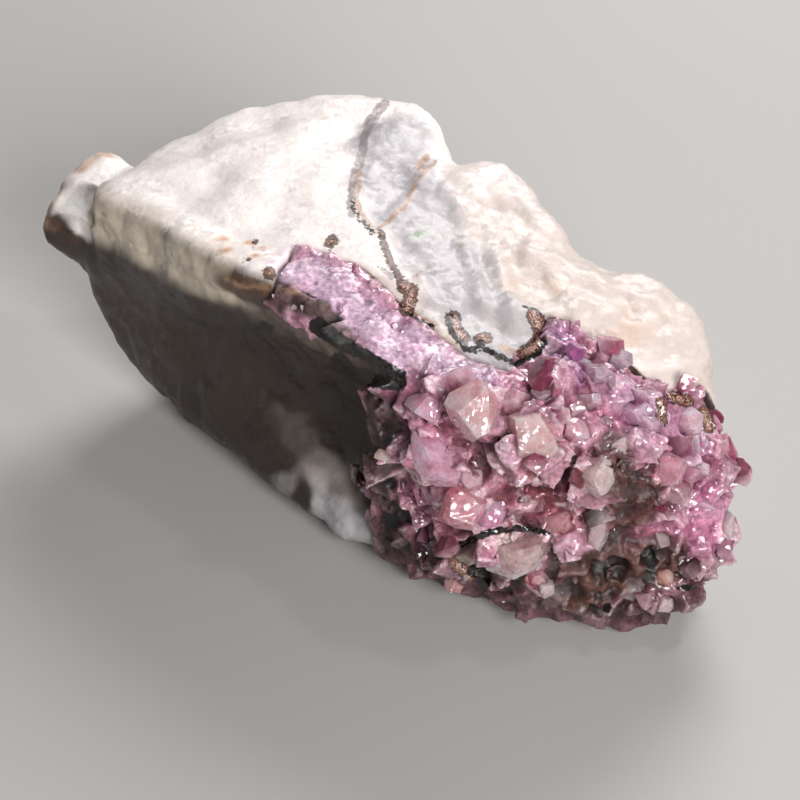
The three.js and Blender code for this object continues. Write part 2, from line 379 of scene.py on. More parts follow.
def standing_out(mesh, p, n, rounds):
    """How far each vertex stands out of its smoothed surroundings, in mm: its place less its place
    after many rounds of moving to the middle of its neighbours, along its normal."""
    ends = np.empty(len(mesh.edges) * 2, np.int32)
    mesh.edges.foreach_get("vertices", ends)
    a, b = ends.reshape(-1, 2).T
    count = np.bincount(ends, minlength=len(p))
    soft = p
    for _ in range(rounds):
        around = [np.bincount(a, soft[b, k], len(p)) + np.bincount(b, soft[a, k], len(p)) for k in range(3)]
        soft = np.stack(around, 1) / count[:, None]
    return ((p - soft) * n).sum(1)


# %% What is stored on a skin
DARKEST, PALEST = 0.005, 0.97


def put_tint(mesh, tint):
    """Stores one linear colour for each vertex under the name tint."""
    layer = mesh.color_attributes.new("tint", "FLOAT_COLOR", "POINT")
    rgba = np.ones((len(tint), 4), np.float32)
    rgba[:, :3] = np.clip(tint, DARKEST, PALEST)
    layer.data.foreach_set("color", rgba.ravel())


def put_share(mesh, name, values):
    """Stores one number for each vertex."""
    layer = mesh.attributes.new(name, "FLOAT", "POINT")
    layer.data.foreach_set("value", values.astype(np.float32))


def show(mesh, node, material, smooth=True):
    """Makes the mesh a piece that stands for a CAD node."""
    mesh.materials.clear()
    mesh.materials.append(material)
    mesh.polygons.foreach_set("use_smooth", np.full(len(mesh.polygons), smooth))
    piece = placed(mesh.name, mesh)
    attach(piece, "root")
    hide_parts(node)
    print(mesh.name, len(mesh.polygons), "faces")
    return piece


# %% [markdown]
# The two minerals are both calcite. The rock is a sugary white mass: light goes a little way in, so
# it gets subsurface scattering and a fine grained bump. The crystals are glassy and cloudy at once.
# Half of the light that enters a large one goes straight on, at calcite's refractive index, and the
# rest wanders about in its veils, so it gets transmission and deep subsurface scattering together.

# %% Nodes


def add(tree, kind, links=None, values=None, **options):
    """Adds a shader node. Options are its own settings, values go into its inputs by name or number,
    and links name the output that feeds each input."""
    node = tree.nodes.new("ShaderNode" + kind)
    for key, value in options.items():
        setattr(node, key, value)
    for key, value in (values or {}).items():
        node.inputs[key].default_value = value
    for key, source in (links or {}).items():
        tree.links.new(source, node.inputs[key])
    return node


def new_material(name):
    """An empty node material, its tree, and the Object coordinates that its patterns use."""
    material = bpy.data.materials.new(name)
    material.use_nodes = True
    tree = material.node_tree
    tree.nodes.clear()
    return material, tree, add(tree, "TexCoord").outputs["Object"]


# %% Stains
EDGE = 0.08  # mm over which a stain's edge fades, to each side


def stain(tree, colour, place, mark_name, code, grain, fray, strength=1.0, grown=0.0):
    """Lays a colour where a stored distance less what it has grown, frayed by noise, is below 0. The
    noise has waves of grain mm and moves the edge by up to fray mm. A negative growth leaves only
    grains inside the mark."""
    distance = add(tree, "Attribute", attribute_name=mark_name).outputs["Fac"]
    noise = add(tree, "TexNoise", {"Vector": place}, {"Scale": 1 / (grain * MM), "Detail": 4.0})
    shift = add(
        tree, "Math", {0: noise.outputs["Fac"], 2: distance}, {1: 2 * fray},
        operation="MULTIPLY_ADD",
    )
    edge = fray + grown
    inside = add(
        tree, "MapRange", {"Value": shift.outputs[0]},
        {"From Min": edge - EDGE, "From Max": edge + EDGE, "To Min": strength, "To Max": 0.0},
        interpolation_type="SMOOTHSTEP",
    )
    mix = add(tree, "Mix", {0: inside.outputs[0], 6: colour}, {7: (*linear(code), 1)}, data_type="RGBA")
    return mix.outputs[2]


def grainy_rust(tree, colour, place):
    """Brown iron stain with pale pinkish grains in it and a broken black edge round it."""
    colour = stain(tree, colour, place, "rust", "#2b211f", 0.35, 0.4, strength=0.9, grown=0.16)
    colour = stain(tree, colour, place, "rust", "#75503f", 0.5, 0.35)
    colour = stain(tree, colour, place, "rust", "#30231f", 0.27, 1.3, strength=0.85, grown=-0.35)
    return stain(tree, colour, place, "rust", "#cfa79b", 0.2, 1.2, strength=0.85, grown=-0.4)


# %% Specks, cracks and grains


def speckles(tree, colour, place, size, dark, light, spread=0.15):
    """Multiplies a colour by a number from dark to light, as noise of that size in mm goes from
    spread below its middle to spread above it."""
    noise = add(tree, "TexNoise", {"Vector": place}, {"Scale": 1 / (size * MM), "Detail": 3.0})
    share = add(
        tree, "MapRange", {"Value": noise.outputs["Fac"]},
        {"From Min": 0.5 - spread, "From Max": 0.5 + spread, "To Min": dark, "To Max": light},
    )
    return add(tree, "VectorMath", {0: colour, 1: share.outputs[0]}, operation="MULTIPLY").outputs[0]


def inner_cracks(tree, colour, place, size, strength):
    """Thin brighter lines between cells of that size in mm, as cleavage cracks show inside calcite."""
    bend = add(tree, "TexNoise", {"Vector": place}, {"Scale": 0.6 / (size * MM)})
    bent = add(
        tree, "VectorMath", {0: bend.outputs["Color"], 2: place}, {1: (size * MM,) * 3},
        operation="MULTIPLY_ADD",
    )
    cells = add(
        tree, "TexVoronoi", {"Vector": bent.outputs[0]}, {"Scale": 1 / (size * MM)},
        feature="DISTANCE_TO_EDGE",
    )
    line = add(
        tree, "MapRange", {"Value": cells.outputs["Distance"]},
        {"From Min": 0.0, "From Max": 0.07, "To Min": 1 + strength, "To Max": 1.0},
    )
    return add(tree, "VectorMath", {0: colour, 1: line.outputs[0]}, operation="MULTIPLY").outputs[0]


def grain_normal(tree, place, cell, calm, lively):
    """A normal tilted its own way in every cell of so many mm, as the faces of grains are. The tilt
    wanders from calm to lively over patches of about four cells."""
    grains = add(tree, "TexVoronoi", {"Vector": place}, {"Scale": 1 / (cell * MM)})
    own = add(
        tree, "VectorMath", {0: grains.outputs["Color"]}, {1: (0.5, 0.5, 0.5)},
        operation="SUBTRACT",
    )
    patches = add(tree, "TexNoise", {"Vector": place}, {"Scale": 0.25 / (cell * MM)})
    tilt = add(
        tree, "MapRange", {"Value": patches.outputs["Fac"]},
        {"From Min": 0.4, "From Max": 0.65, "To Min": calm, "To Max": lively},
    )
    tilted = add(tree, "VectorMath", {0: own.outputs[0], "Scale": tilt.outputs[0]}, operation="SCALE")
    normal = add(tree, "NewGeometry").outputs["Normal"]
    both = add(tree, "VectorMath", {0: normal, 1: tilted.outputs[0]}, operation="ADD")
    return add(tree, "VectorMath", {0: both.outputs[0]}, operation="NORMALIZE").outputs[0]


# %% The finishes


def calcite_rock():
    """White massive calcite, broken by hammer: sugary grains of 0.3 to 1 mm, slightly translucent,
    with veins of brown iron stain and black oxide."""
    material, tree, place = new_material("massive_white_calcite")
    tint = add(tree, "Attribute", attribute_name="tint").outputs["Color"]
    colour = speckles(tree, tint, place, 2.5, 0.96, 1.01)
    colour = speckles(tree, colour, place, 0.5, 0.94, 1.03, spread=0.2)
    colour = stain(tree, colour, place, "smoke", "#8d7f81", 0.8, 0.35, strength=0.75)
    colour = stain(tree, colour, place, "tan", "#b3917b", 0.6, 0.25, strength=0.85)
    colour = grainy_rust(tree, colour, place)
    colour = stain(tree, colour, place, "oxide", "#211a19", 0.35, 0.5)
    # Grains of about 0.7 mm.
    grain = add(tree, "TexNoise", {"Vector": place}, {"Scale": 1400.0, "Detail": 5.0, "Roughness": 0.6})
    bump = add(
        tree, "Bump",
        {"Height": grain.outputs["Fac"],
         "Normal": grain_normal(tree, place, cell=0.7, calm=0.06, lively=0.3)},
        {"Strength": 0.5, "Distance": 0.0002},
    )
    skin = add(
        tree, "BsdfPrincipled", {"Base Color": colour, "Normal": bump.outputs[0]},
        {"Roughness": 0.42, "IOR": 1.55, "Subsurface Weight": 0.2, "Subsurface Radius": (1.2, 1.0, 0.9),
         "Subsurface Scale": 0.0007},
    )
    add(tree, "OutputMaterial", {"Surface": skin.outputs[0]})
    return material


def pink_mass():
    """Pink cobaltoan calcite, grown as a mass of crystals: glassy, cloudy, and a little translucent.
    Its brown hollows are dull, so its roughness is stored for each point."""
    material, tree, place = new_material("massive_pink_calcite")
    tint = add(tree, "Attribute", attribute_name="tint").outputs["Color"]
    colour = speckles(tree, tint, place, 1.6, 0.78, 1.12)
    colour = speckles(tree, colour, place, 0.4, 0.72, 1.2)
    colour = grainy_rust(tree, colour, place)
    colour = stain(tree, colour, place, "oxide", "#211a19", 0.5, 0.3)
    dull = add(tree, "Attribute", attribute_name="dull").outputs["Fac"]
    skin = add(
        tree, "BsdfPrincipled",
        {"Base Color": colour, "Normal": grain_normal(tree, place, cell=0.35, calm=0.1, lively=0.65),
         "Roughness": dull},
        {"IOR": 1.6, "Subsurface Weight": 0.5, "Subsurface Radius": (1.3, 0.8, 0.9),
         "Subsurface Scale": 0.0009},
    )
    add(tree, "OutputMaterial", {"Surface": skin.outputs[0]})
    return material


def crystal_glass(name, see_through, roughness, depth):
    """Glassy calcite crystal: refractive index 1.6, clouded by veils and inner cracks, its faces
    striped by growth steps about 0.3 mm apart that run across its own axis. Light wanders depth mm
    into it."""
    material, tree, place = new_material(name)
    tint = add(tree, "Attribute", attribute_name="tint").outputs["Color"]
    colour = speckles(tree, tint, place, 1.1, 0.82, 1.25)
    colour = speckles(tree, colour, place, 0.3, 0.88, 1.1)
    colour = inner_cracks(tree, colour, place, size=1.3, strength=0.13)
    own = add(tree, "Attribute", attribute_name="own_place").outputs["Vector"]
    steps = add(
        tree, "TexWave", {"Vector": own}, {"Scale": 1.0, "Distortion": 5.0, "Detail": 3.0},
        bands_direction="Z",
    )
    bump = add(
        tree, "Bump",
        {"Height": steps.outputs["Fac"],
         "Normal": grain_normal(tree, place, cell=0.4, calm=0.05, lively=0.7)},
        {"Strength": 0.14, "Distance": 0.00004},
    )
    skin = add(
        tree, "BsdfPrincipled", {"Base Color": colour, "Normal": bump.outputs[0]},
        {"Roughness": roughness, "IOR": 1.6, "Transmission Weight": see_through, "Subsurface Weight": 0.85,
         "Subsurface Radius": (1.0, 0.75, 0.8), "Subsurface Scale": depth * MM},
    )
    add(tree, "OutputMaterial", {"Surface": skin.outputs[0]})
    return material


# %% [markdown]
# The rock was broken out with a hammer. Some breaks can be read off the photograph: the flat bright top
# with its sharp near edge, the cleavage slabs beside the grey band. They are drawn one by one.
# The rest of the surface is creased, weakly on the smooth top and strongly on the right. A ridge is
# a line that stands highest along its middle and falls off straight to both sides.

# %% The white rock: shape
ROCK_VOXEL = 0.35
GREY_BAND = [(398, 135), (395, 185), (420, 220), (440, 255), (462, 290), (490, 322), (515, 340)]
# Pixels along a ridge, its height and its half width in mm.
RIDGES = [
    ([(92, 197), (128, 212), (165, 229), (215, 260), (250, 282)], 1.0, 3.2),
    ([(497, 262), (503, 290), (514, 322)], 0.6, 1.6), ([(462, 245), (476, 275), (482, 305)], 0.45, 1.4),
    ([(380, 232), (412, 195), (436, 165)], 0.3, 1.2),
    ([(440, 165), (480, 190), (530, 205), (560, 240)], 0.4, 2.0),
    ([(515, 255), (560, 262), (610, 285), (660, 300)], 0.4, 1.8),
    ([(400, 240), (420, 262), (445, 300)], -0.35, 1.2),
    ([(535, 318), (580, 300), (640, 330), (700, 350)], 0.4, 2.0),
    ([(130, 175), (200, 160), (290, 130)], 0.3, 3.0), ([(250, 225), (320, 205), (345, 170)], -0.25, 2.5),
    ([(88, 190), (94, 222), (100, 245)], 0.5, 1.6),
]
# Pixel of a cut, the way it faces, its depth and its reach in mm.
ROCK_CUTS = [
    ((712, 350), (0.93, -0.2, 0.3), 0.7, 8), ((690, 297), (0.4, 0.5, 0.75), 0.6, 7),
    ((520, 172), (0.3, 0.6, 0.7), 0.7, 6), ((428, 106), (0.3, 0.6, 0.7), 0.6, 5),
    ((76, 208), (-0.2, -0.45, 0.87), 0.8, 4),
]

rng = np.random.default_rng(7)
rock = fine_skin("white_rock", *merged(*solid_arrays(["host_rock"])), ROCK_VOXEL, smoothing=3)
p, n = places(rock)
top = ramp(n[:, 2], 0.35, 0.8)
wall = (1 - ramp(n[:, 1], -0.7, -0.2)) * (1 - top)
grey = 1 - ramp(distance_to_line(p, seen(*GREY_BAND)) + 1.2 * soft_noise(p, 3, 5), 3.0, 5.5)
right = ramp(p[:, 0], -4, 6)
broken = 0.15 + 0.85 * np.maximum(np.maximum(grey, right), 1 - top)

warped = p + 0.8 * np.stack([soft_noise(p, 4, k) for k in (1, 2, 3)], -1)
breaks = (0.2 + 0.3 * right) * creased(warped, 9, 21) + 0.4 * broken * creased(warped, 4.3, 22)
breaks += 0.22 * broken * creased(warped, 1.9, 23) + 0.1 * broken * creased(p, 0.9, 24)
cut_rock = p + n * (breaks * off_ground(p))[:, None]
for pixels, height, half_width in RIDGES:
    crest = np.maximum(1 - distance_to_line(p, seen(*pixels)) / half_width, 0)
    cut_rock += n * (height * crest)[:, None]
for pixel, normal, depth, reach in ROCK_CUTS:
    for centre in seen(pixel):
        cut_flat(cut_rock, centre, np.array(normal), depth, reach)
put_places(rock, cut_rock)

# %% [markdown]
# The marks on the rock: a grey translucent band, two veins of brown stain and black oxide with grainy
# patches where they swell, a branch of tan stain, dark specks with rusty halos, a wall painted dark brown,
# partly as stain and partly as painted shade that deepens towards its foot, with whitish lobes at its foot
# painted lighter where they catch the light, a band of painted half-shade along the rounded rim, and a
# rusty knob at the far left end.

# %% The white rock: its marks
SPECK_HALOS = [(222, 240), (229, 255), (250, 240), (256, 256), (270, 272), (262, 246)]
# Painted half-shade along the rounded rim, where the lit top turns down into the shaded wall.
BEVEL = [(100, 215), (140, 240), (180, 262), (225, 285)]
# Soft marks: pixels, half width in mm, colour, strength, and where needed softness, fray and seed.
ROCK_PAINT = [
    # The whitish lobes are the rock's own pale colour, painted lighter than the wall's painted shade where
    # they jut out into the light.
    ([(322, 506), (350, 522)], 3.0, "#bdb7b8", 0.9, 0.5, 0.5, 6),  # whitish lobes
    ([(285, 482)], 2.6, "#8f8889", 0.7, 0.5, 0.5, 8),  # a shaded one
    ([(235, 285), (262, 298), (300, 312), (325, 335), (350, 362), (395, 372)], 2.6, "#4f3625", 0.9, 0.8),
    ([(418, 235)], 0.7, "#b2c7a4", 0.6), ([(460, 247)], 0.6, "#8e9270", 0.8),  # green specks
    ([(300, 245), (275, 262)], 2.2, "#e4c4d4", 0.5, 0.9),  # pink blush
    ([(72, 205), (84, 225)], 2.4, "#fff6f0", 0.9, 0.5, 0.2),  # the knob: pale, rusty rim, dark pit
    ([(47, 222), (52, 198), (66, 172), (84, 158), (105, 153), (125, 156)], 1.6, "#c19a7a", 0.8, 0.9),
    ([(54, 224), (66, 232), (80, 240)], 0.8, "#4a3022", 0.85, 0.7),
    *[([spot], 0.9, "#dba273", 0.75, 0.9) for spot in SPECK_HALOS],
    ([(232, 277), (250, 283), (270, 288)], 0.4, "#a88262", 0.75, 0.8),  # rim of the strip
]
# Pixels along each crisp mark, and its half width in mm.
SMOKE_MARKS = [
    ([(385, 104), (377, 112), (369, 122), (364, 135), (362, 150), (359, 164)], 0.5),
    ([(355, 168), (353, 185), (350, 200), (352, 214)], 0.4), ([(383, 268), (392, 277)], 0.3),
]
TAN_MARKS = [
    ([(378, 231), (392, 218), (405, 207), (411, 192), (421, 178), (434, 166)], 0.24),
    ([(418, 169), (426, 157)], 0.4), ([(412, 312), (425, 319), (438, 326)], 0.2),
    ([(500, 345), (516, 352)], 0.3), ([(252, 243), (256, 256)], 0.12),
    ([(359, 170), (359, 185), (356, 200), (362, 215), (370, 226)], 0.28),
    ([(425, 262), (417, 275)], 0.1),
]
RUST_MARKS = [
    ([(381, 234), (385, 248), (390, 260), (397, 272), (401, 282)], 0.22),
    ([(404, 285), (411, 290), (410, 300), (406, 309)], 0.6),
    ([(453, 318), (454, 328), (462, 338)], 0.65), ([(479, 340), (487, 338)], 0.5),
    ([(533, 318), (540, 328), (540, 340), (531, 350), (524, 352)], 0.65),
    ([(330, 243), (333, 240)], 0.45), ([(270, 274)], 0.5), ([(255, 240)], 0.16), ([(250, 262)], 0.1),
]
OXIDE_MARKS = [
    ([(353, 200), (353, 208), (360, 220), (373, 234)], 0.22),
    ([(380, 238), (383, 250), (389, 264), (397, 276)], 0.12),
    ([(404, 311), (412, 316), (424, 323), (434, 328)], 0.16),
    ([(451, 312), (450, 330), (458, 341)], 0.25),
    ([(458, 341), (467, 350), (476, 350), (480, 342), (486, 349), (500, 356), (516, 364), (524, 361)], 0.3),
    ([(527, 359), (538, 354), (544, 344), (541, 334)], 0.25),
    ([(541, 318), (533, 313), (522, 311)], 0.14), ([(322, 240), (326, 250), (336, 250)], 0.02),
    ([(250, 236), (253, 242)], 0.02), ([(244, 255)], 0.05), ([(375, 264), (378, 266)], 0.03),
    ([(340, 360), (352, 372), (375, 380), (398, 382)], 0.9), ([(262, 324), (270, 328)], 0.35),
    ([(60, 229), (68, 233)], 0.12), ([(218, 233)], 0.06), ([(228, 256)], 0.05),
    ([(262, 247), (264, 250)], 0.03), ([(243, 262), (246, 266)], 0.03),
]
ROCK_STAINS = {"smoke": SMOKE_MARKS, "tan": TAN_MARKS, "rust": RUST_MARKS, "oxide": OXIDE_MARKS}

# %% The white rock: paint
down = 30 - p[:, 2]
tint = np.tile(linear("#fdf0eb"), (len(p), 1))
tint = lay(tint, "#f3eae4", 0.5 * ramp(layered(p, 6, 31), -0.1, 0.9))
tint = lay(tint, "#d6c6bd", ramp(p[:, 0], -10, 12) * 0.9)
tint = lay(tint, "#dcbfab", 0.6 * right * ramp(layered(p, 4, 33), 0.2, 0.9))
# The wall is painted dark brown: partly its brown stain and mottling, partly painted shade, as it faces
# away from the light. The painted shade deepens towards its foot.
tint = lay(tint, "#665341", 0.9 * wall)
tint = lay(tint, "#2c211b", 0.93 * wall * ramp(down + layered(p, 6, 45), 3.5, 8))
tint = lay(tint, "#332a24", 0.75 * wall * ramp(layered(p, 5, 41), 0.0, 0.8))
# Painted half-shade on the rounded rim.
tint = mark(tint, p, BEVEL, 4.2, "#d2c2ae", 0.95, fray=0.2, soft=0.7)
tint = lay(tint, "#b9b3b6", 0.85 * grey)
tint = lay(tint, "#989194", 0.5 * grey * ramp(layered(p, 4, 43, 2), 0.0, 0.7))
for soft_mark in ROCK_PAINT:
    tint = mark(tint, p, *soft_mark)
put_tint(rock, tint)
for name, marks in ROCK_STAINS.items():
    put_share(rock, name, nearness(p, marks))
show(rock, "host_rock", calcite_rock())

# %% [markdown]
# The crust is a lumpy pink mass under its crystals. Its colour runs from pale lilac along the upper edge
# through dusty rose to a bright pink right end, with smoky brown hollows low on the front. The hollows are
# pits, so they are dark by shape as well as by colour. Painted shade darkens it towards its foot, under the
# wedge crystal and on its side that faces away from the light.

# %% The pink crust: its zones and marks
CRUST_VOXEL = 0.24
LILAC = [(300, 270), (350, 305), (400, 340), (440, 368), (480, 378)]
WEDGE_SHADE = [(440, 560), (480, 575), (530, 570)]
BROWN = [(624, 484), (636, 510), (612, 545), (650, 560), (600, 580), (560, 575)]
# The crust's side that faces away from the light, painted dark as shade.
SHADED_SIDE = [(385, 400), (380, 440), (385, 500), (395, 540)]
STRIP_FOOT = [(264, 296), (295, 301), (318, 312), (340, 336)]
# Soft marks, as in ROCK_PAINT.
PINK_ZONES = [
    ([(425, 430), (435, 480), (445, 520)], 4.0, "#e6a6b9", 0.8, 0.8),  # rose left side
    (LILAC, 4.2, "#fad6ee", 0.9, 0.8),
    ([(545, 345), (575, 365)], 3.2, "#d49ccc", 0.8, 0.8),  # violet
    ([(625, 400), (655, 415), (690, 440)], 3.8, "#e9b4d2", 0.8, 0.8),  # upper right
    ([(700, 480), (705, 520), (690, 555)], 5.0, "#e096b6", 0.9, 0.8),  # bright pink right end
    ([(530, 490), (575, 508)], 4.2, "#a95f66", 0.85, 0.8),  # dusty rose middle
]
# Brown and rusty stains, with painted shade under the wedge crystal and on the side that faces away from
# the light.
STAIN_AND_SHADE_ZONES = [
    ([(505, 462), (540, 465), (580, 462)], 1.7, "#c07f62", 0.65, 0.9),  # rusty
    (BROWN, 4.2, "#653d30", 0.95, 0.6), (WEDGE_SHADE, 2.0, "#432e28", 0.9, 0.7),
    (SHADED_SIDE, 3.6, "#381b1a", 0.95, 0.6), ([(300, 268)], 0.9, "#8d6a96", 0.7),
    (STRIP_FOOT, 1.5, "#54392b", 0.9, 0.5),
    ([(268, 287), (290, 290), (312, 298)], 0.35, "#b88a68", 0.7, 0.8),  # rim of the strip
]
# Pixel, radius and depth in mm.
HOLLOWS = [((626, 472), 2.4, 1.3), ((610, 568), 2.6, 1.5), ((651, 558), 1.6, 1.2), ((478, 575), 1.8, 1.0)]
CRUST_OXIDE = OXIDE_MARKS + [
    ([(318, 326), (342, 344), (368, 360), (398, 377)], 0.9),
    ([(272, 287), (300, 290), (318, 300)], 0.12), ([(652, 550), (650, 578)], 0.5),
    ([(680, 588), (692, 588)], 0.3), ([(607, 608)], 0.5),
    ([(454, 547), (472, 540), (490, 532), (518, 528), (548, 532)], 0.35),
    ([(470, 572), (490, 578)], 0.4),
]
CRUST_RUST = RUST_MARKS + [
    ([(661, 402), (662, 421)], 0.45), ([(672, 397), (688, 401)], 0.5), ([(704, 413), (709, 426)], 0.6),
    ([(455, 562), (470, 575)], 0.6),
]
# Pixel, half width and half height in mm, turn in degrees, and colour.
LARGE = [
    ((475, 411), 2.5, 2.8, 10, "#f7c5c6"), ((534, 439), 2.9, 2.9, 0, "#fdc5c3"),
    ((598, 476), 1.7, 2.0, 0, "#e8c5c3"), ((429, 406), 1.9, 1.6, 20, "#fab9cf"),
    ((458, 383), 2.0, 1.3, 0, "#fbbecf"), ((435, 457), 1.9, 3.5, -35, "#f9b7cf"),
    ((464, 477), 2.1, 1.3, 30, "#fab9c6"), ((462, 508), 2.2, 2.2, 0, "#f2adb7"),
    ((492, 517), 1.5, 1.7, 20, "#f2b0cd"), ((515, 403), 1.5, 1.6, -10, "#f7b4c4"),
    ((545, 397), 1.3, 1.3, 40, "#f4bbcb"), ((575, 431), 1.7, 1.3, 0, "#f2c3ce"),
    ((593, 401), 1.6, 1.1, 10, "#f4c2cf"), ((619, 360), 1.3, 1.1, 0, "#bfa4b2"),
    ((600, 374), 1.3, 1.0, 20, "#c8aab7"), ((584, 367), 0.6, 0.9, 0, "#fed4e0"),
    ((637, 412), 2.1, 1.6, 15, "#f2accb"), ((688, 426), 1.5, 1.7, 0, "#fecad8"),
    ((619, 445), 0.9, 0.7, 0, "#f6cccb"), ((665, 468), 2.1, 1.8, 10, "#dd91a4"),
    ((701, 468), 1.1, 0.7, 0, "#fecbd4"), ((681, 475), 0.6, 0.9, 0, "#f6cace"),
    ((597, 532), 1.1, 2.5, 5, "#ecbfc3"), ((665, 577), 1.1, 1.0, 0, "#f3aa98"),
    ((665, 601), 1.3, 1.1, 0, "#e9bec0"), ((545, 589), 0.9, 0.9, 0, "#f6c7c9"),
    ((536, 578), 1.6, 1.1, 0, "#de919c"), ((456, 582), 1.6, 1.1, 0, "#e49594"),
    ((383, 456), 1.0, 0.7, 0, "#f7c3b9"), ((560, 520), 1.8, 1.6, 0, "#d07f8b"),
    ((513, 550), 3.2, 2.2, -8, "#e5c5c3"), ((467, 552), 2.5, 1.2, -12, "#bea49b"),
    ((727, 526), 0.7, 1.5, 0, "#fbd8dc"),
]

# %% The pink crust: colour by place
PINK_LEVEL = 0.79  # brings the zones' colours to the photograph's brightness


def pink_at(p):
    """Colour of the pink mineral at a place, by distance from the zones seen in the photograph, with
    painted shade towards its foot, under the wedge and on its side that faces away from the light.
    """
    tint = np.tile(linear("#d08aa3"), (len(p), 1))
    tint = lay(tint, "#e0a8bb", 0.8 * ramp(layered(p, 4, 51), -0.3, 0.6))
    for zone in PINK_ZONES:
        tint = mark(tint, p, *zone)
    # Painted shade: the crust darkens towards its foot, where less light reaches.
    tint = lay(tint, "#4c2828", 0.88 * (1 - ramp(p[:, 2] + 1.5 * layered(p, 3, 57), 4, 14)))
    for zone in STAIN_AND_SHADE_ZONES:
        tint = mark(tint, p, *zone)
    return PINK_LEVEL * tint


def earthy(p):
    """1 in the brown hollows, in the painted shade under the wedge and on the side, and low down, all of
    which are dull, and 0 on the clean glassy crystals.
    """
    zones = (BROWN, 0), (WEDGE_SHADE, 1), (SHADED_SIDE, 0), (STRIP_FOOT, -1)
    away = np.min([distance_to_line(p, seen(*line)) + more for line, more in zones], axis=0)
    return np.maximum(1 - ramp(away, 1.5, 4.0), 1 - ramp(p[:, 2], 3, 9))


def strip_share(p):
    """1 on the upper strip, where the crust is sugary and thin, and 0 on the front."""
    return 1 - ramp(distance_to_line(p, seen(*LILAC)), 2.5, 5.0)


print(len(LARGE), "large crystals are told apart in the photograph")

# %% [markdown]
# The druse: crystals of calcite grow outwards from the mass and into each other. Each one is cut
# from planes: three tilted ones at each end, as cleavage gives, and six round the sides. Hundreds
# are sunk into the crust's solid and remeshed with it, so that they are one grown body, as on the
# specimen. More are set on it as separate sharp glassy bodies.

# %% Many crystals at once
TRIOS = np.array(list(itertools.combinations(range(12), 3)))


def crystals(centres, halves, leans, hints, steep):
    """Many crystals, each cut from twelve planes: three at each end whose normals lean by steep
    degrees from the long axis, and six round the sides, all a little off. A corner is a point where
    three planes meet and that no other plane cuts away. A face is the corners of one plane in order
    round their middle. The long axis is turned to the lean, and the second axis to the hint."""
    count = len(centres)
    third, sixth = np.arange(3) * 2 * np.pi / 3, np.arange(6) * np.pi / 3
    lift = np.radians(steep)[:, None]
    flat, tall = np.sin(lift), np.cos(lift) + 0 * third
    ends = [
        np.stack([np.cos(third + t) * flat, np.sin(third + t) * flat, s * tall], 2)
        for t, s in ((0, 1), (np.pi / 3, -1))
    ]
    sides = np.stack([np.cos(sixth), np.sin(sixth), 0 * sixth], 1) + np.zeros((count, 1, 1))
    normals = np.concatenate([*ends, sides], 1) + 0.1 * rng.standard_normal((count, 12, 3))
    normals /= np.linalg.norm(normals, axis=2, keepdims=True)
    distance = np.repeat([0.75, 0.95], 6) * (1 + 0.12 * rng.standard_normal((count, 12)))
    solvable = np.abs(np.linalg.det(normals[:, TRIOS])) > 1e-4
    planes = np.where(solvable[..., None, None], normals[:, TRIOS], np.eye(3))
    corner = np.linalg.solve(planes, distance[:, TRIOS][..., None])[..., 0]
    above = np.einsum("nij,nkj->nik", corner, normals) - distance[:, None]
    kept = solvable & (above.max(2) < 1e-6)

    bodies, faces, owners, start = [], [], [], 0
    for k in range(count):
        trios, body = TRIOS[kept[k]], corner[k][kept[k]]
        for plane in range(12):
            on = np.flatnonzero((trios == plane).any(1))
            if len(on) > 2:
                away = body[on] - body[on].mean(0)
                second = np.cross(normals[k, plane], away[0])
                faces.append((start + on[np.argsort(np.arctan2(away @ second, away @ away[0]))]).tolist())
        bodies.append(body * halves[k])
        owners.append(np.full(len(body), k))
        start += len(body)
    body, owner = np.concatenate(bodies), np.concatenate(owners)

    up = leans / np.linalg.norm(leans, axis=1, keepdims=True)
    side = np.cross(hints, up)
    side /= np.linalg.norm(side, axis=1, keepdims=True)
    axes = np.stack([side, np.cross(up, side), up], 1)
    return body, np.einsum("ij,ijk->ik", body, axes[owner]) + centres[owner], faces, owner


# %% Where crystals stand
AHEAD, CLEAR, LOWEST = 0.4, 0.55, 2.2  # mm


def wild(at, normal, size, sunk, lean):
    """Crystals at free spots: sizes along their three axes vary by a quarter, their axes stray from
    the skin's normal by lean, and they are sunk into it by a share of their size."""
    count = len(at)
    halves = size[:, None] * (0.8 + 0.45 * rng.random((count, 3)))
    leans = normal + lean * rng.standard_normal((count, 3))
    hints = rng.standard_normal((count, 3))
    return crystals(at - normal * (sunk * size)[:, None], halves, leans, hints, 40 + 25 * rng.random(count))


def nearest(p, centres):
    """For each point the number of the centre nearest to it: the centre c with the least c.c - 2 p.c"""
    own = (centres * centres).sum(1)
    return np.concatenate([(own - 2 * part @ centres.T).argmin(1) for part in np.array_split(p, 40)])


def spaced(candidates, gap):
    """Takes points one by one, and leaves out each that is nearer than gap to one taken before."""
    taken = []
    for k, point in enumerate(candidates):
        if not taken or np.linalg.norm(candidates[taken] - point, axis=1).min() > gap:
            taken.append(k)
    return np.array(taken)


def free_spots(p, n, count, gap):
    """Places on a skin that face open space, at least gap apart, as index numbers. A point a step
    ahead of the skin has to be clear of the rock, and the place not too low."""
    chosen = rng.choice(len(p), min(count, len(p)), replace=False)
    ahead = [HOST.find_nearest(Vector(q))[3] for q in p[chosen] + n[chosen] * AHEAD]
    chosen = chosen[(np.array(ahead) > CLEAR) & (p[chosen][:, 2] > LOWEST)]
    return chosen[spaced(p[chosen], gap)]


def beside_large(p, share):
    """Whether each point is further than a share of its size from every large crystal."""
    away = np.linalg.norm(p[:, None] - large_at[None], axis=2) - share * large_size
    return away.min(1) > 0


